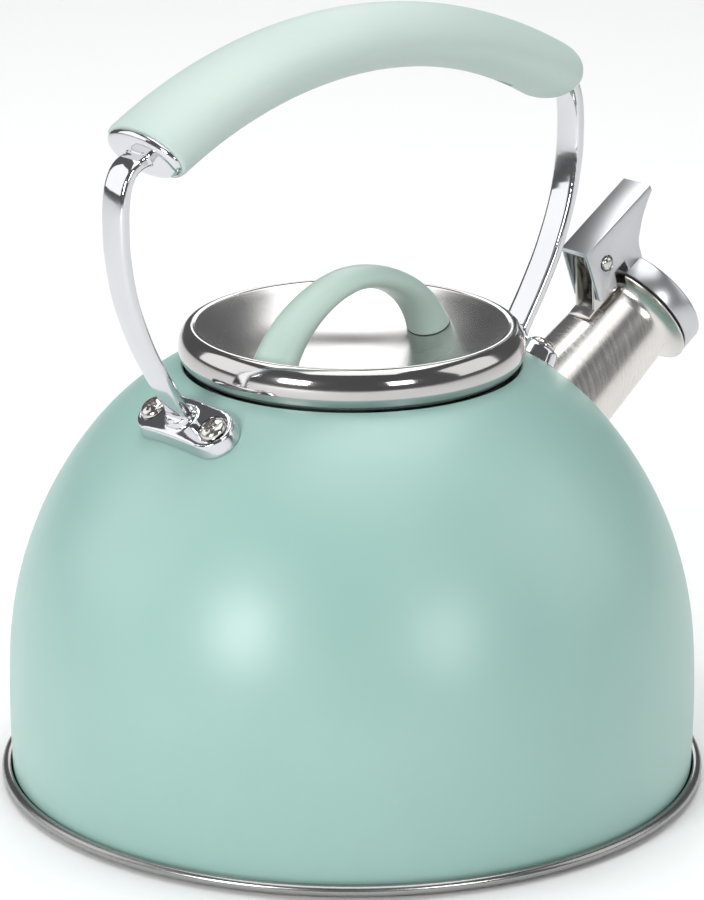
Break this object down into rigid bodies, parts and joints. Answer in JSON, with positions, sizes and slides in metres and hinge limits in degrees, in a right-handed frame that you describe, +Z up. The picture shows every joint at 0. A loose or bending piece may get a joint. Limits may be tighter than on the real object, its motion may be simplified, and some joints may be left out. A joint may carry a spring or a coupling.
{
  "type": "stovetop whistling kettle",
  "caption": "Domed stovetop kettle with arched carrying handle, lift-off lid, slanted spout and a sprung flip-up whistle cap.",
  "frame": {"origin": "centre of the flat underside, on the kettle's axis, at the level of the stove", "axes": "+X towards the spout, +Z up, +Y to the left of the spout"},
  "size_m": [0.249, 0.22, 0.2435],
  "materials": {
    "mint_enamel": "satin mint coating",
    "mint_soft_grip": "soft satin mint",
    "mint_gloss_handle": "satin gloss mint",
    "arm_chrome": "mirror",
    "satin_chrome": "satin",
    "core_aluminium": "plain",
    "seal_rubber": "matte",
    "bright_steel": "bright",
    "polished_steel": "polished rim, brushed dish",
    "brushed_steel": "brushed"
  },
  "bodies": {
    "kettle": {"body_shell": "mint_enamel", "base_cap": "brushed_steel", "heat_core": "core_aluminium", "base_pan": "brushed_steel", "mouth_collar": "brushed_steel", "spout_tube": "brushed_steel", "whistle_bracket": "brushed_steel", "pivot_pin": "bright_steel", "torsion_spring": "bright_steel", "grip_sleeve": "mint_soft_grip", "grip_screw_back": "bright_steel", "grip_screw_front": "bright_steel", "back_arm": "arm_chrome", "back_foot_screw_near": "bright_steel", "back_foot_screw_far": "bright_steel", "back_gasket": "seal_rubber", "back_backing_plate": "brushed_steel", "front_arm": "arm_chrome", "front_foot_screw_near": "bright_steel", "front_foot_screw_far": "bright_steel", "front_gasket": "seal_rubber", "front_backing_plate": "brushed_steel"},
    "lid": {"lid_top": "polished_steel", "lid_skirt": "polished_steel", "lid_handle": "mint_gloss_handle", "lid_screw_left": "bright_steel", "lid_washer_left": "seal_rubber", "lid_screw_right": "bright_steel", "lid_washer_right": "seal_rubber"},
    "whistle": {"whistle_lever": "satin_chrome", "whistle_outer_disc": "brushed_steel", "whistle_inner_disc": "brushed_steel"}
  },
  "joints": [
    {"name": "lid_lift", "type": "slide", "parent": "kettle", "child": "lid", "axis": [0, 0, 1], "range_m": [0, 0.045]},
    {"name": "whistle_hinge", "type": "hinge", "parent": "kettle", "child": "whistle", "pos_m": [0.10248, 0, 0.14647], "axis": [0, -1, 0], "range_deg": [0, 40], "stiffness_Nm_per_rad": 0.04, "springref_deg": -45.84, "deforming": ["torsion_spring"]}
  ]
}
